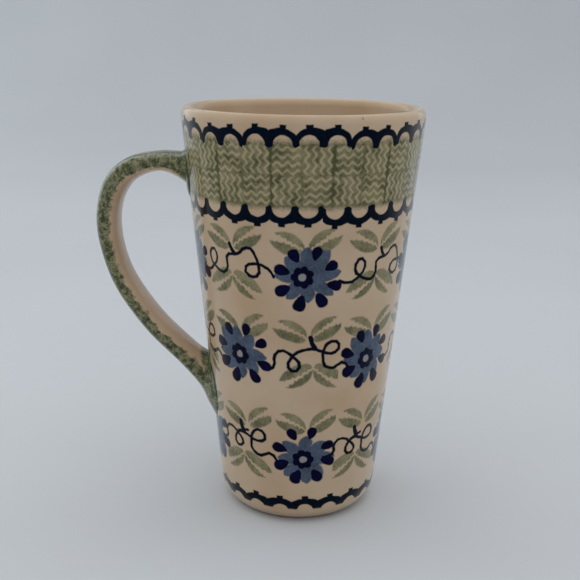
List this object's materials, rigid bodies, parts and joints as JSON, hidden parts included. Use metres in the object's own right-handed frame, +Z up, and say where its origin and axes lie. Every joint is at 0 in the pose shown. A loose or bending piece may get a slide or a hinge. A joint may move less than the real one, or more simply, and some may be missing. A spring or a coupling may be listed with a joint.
{
  "type": "tall stoneware mug",
  "caption": "Tall conical stoneware mug with a rounded lip and heel and one strap handle, joined to the wall with clay slip.",
  "frame": {"origin": "centre of the flat base on the mug's axis, at the height of the surface it stands on", "axes": "+Z up along the mug's axis, -X towards the handle, -Y towards the viewer of the decorated front"},
  "size_m": [0.1191, 0.0878, 0.15],
  "materials": {
    "body_glaze": "clear gloss glaze over cream stoneware with sponge-stamped and brushed underglaze decoration",
    "handle_glaze": "clear gloss glaze, green sponged outer face, cream inner face",
    "slip_joint": "clear gloss glaze pooled dark green at the joints"
  },
  "bodies": {
    "root": {"mug_body": "body_glaze", "handle": "handle_glaze", "upper_slip_joint": "slip_joint", "lower_slip_joint": "slip_joint"}
  },
  "joints": []
}
